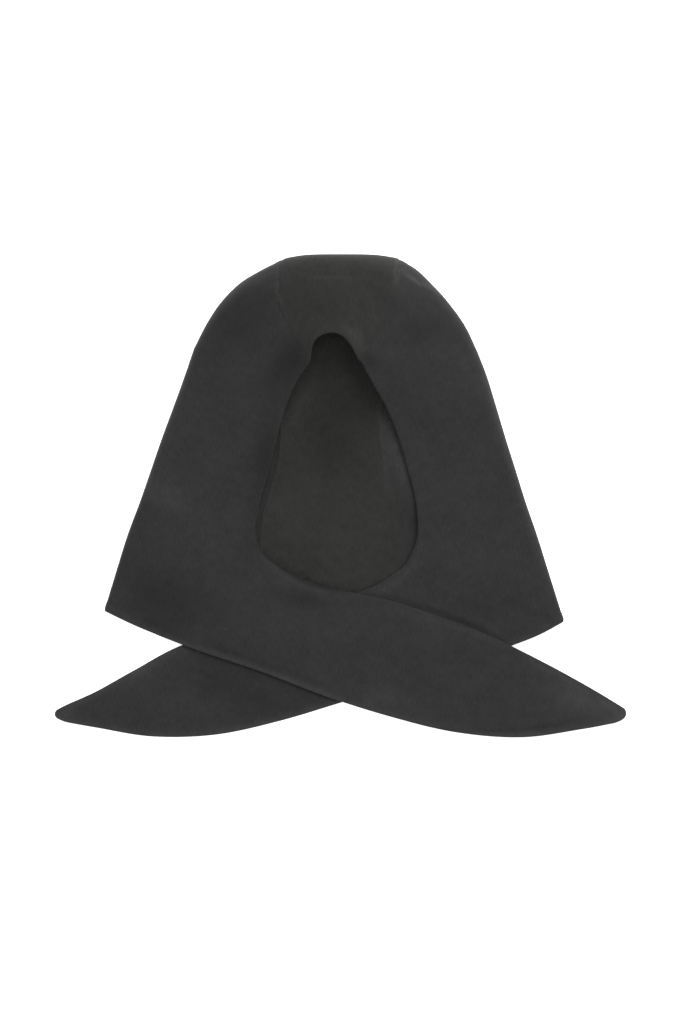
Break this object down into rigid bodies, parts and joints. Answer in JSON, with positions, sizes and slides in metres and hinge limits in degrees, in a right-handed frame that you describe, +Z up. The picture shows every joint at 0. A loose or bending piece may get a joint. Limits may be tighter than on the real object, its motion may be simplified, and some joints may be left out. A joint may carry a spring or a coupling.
{
  "type": "wool hood",
  "caption": "Close wool hood with a gusset over the crown and long tapering scarf tails crossed in front, laid flat on its back.",
  "frame": {"origin": "on the surface, under the middle of the outline", "axes": "+X across the hood towards the upper tail's tip, +Y towards the crown, +Z up, away from the surface"},
  "size_m": [0.5422, 0.4572, 0.0447],
  "materials": {
    "panel_wool": "fine felted charcoal wool, matt",
    "gusset_wool": "fine felted charcoal wool, matt, slightly warmer"
  },
  "bodies": {
    "root": {"gusset": "gusset_wool", "left_panel": "panel_wool", "right_panel": "panel_wool"}
  },
  "joints": []
}
